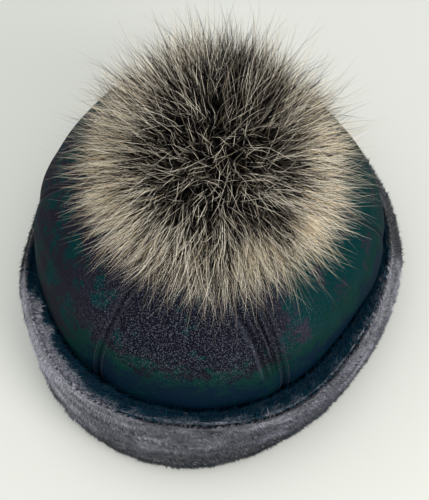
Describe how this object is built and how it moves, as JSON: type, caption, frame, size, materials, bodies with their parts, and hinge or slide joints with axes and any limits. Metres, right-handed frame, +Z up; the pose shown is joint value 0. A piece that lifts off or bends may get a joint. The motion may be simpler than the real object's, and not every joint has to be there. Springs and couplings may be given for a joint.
{
  "type": "sheepskin hat",
  "caption": "Domed sheepskin hat of sewn gores with a turned-up wool cuff all round and a large fur pompom on the crown.",
  "frame": {"origin": "middle of the hat's bounding box at the height of the surface that its cuff stands on", "axes": "+Z up through the crown to the pompom, -Y towards the front of the hat, +X to the right as seen from the front"},
  "size_m": [0.2234, 0.2444, 0.2304],
  "materials": {
    "nappa": "dark coated sheepskin leather with a fine pebble grain and a soft sheen",
    "sheared_wool": "dense short sheared wool, soft and matt, lighter where its nap lies over",
    "stud": "plain matt dark fastening",
    "long_fur": "long soft fur, dark underfur with pale guard hairs"
  },
  "bodies": {
    "root": {"gore_front": "nappa", "gore_front_right": "nappa", "gore_back_right": "nappa", "gore_back": "nappa", "gore_back_left": "nappa", "gore_front_left": "nappa", "cuff_band": "sheared_wool", "cuff_facing": "sheared_wool", "pompom_stud": "stud", "pompom": "long_fur"}
  },
  "joints": []
}
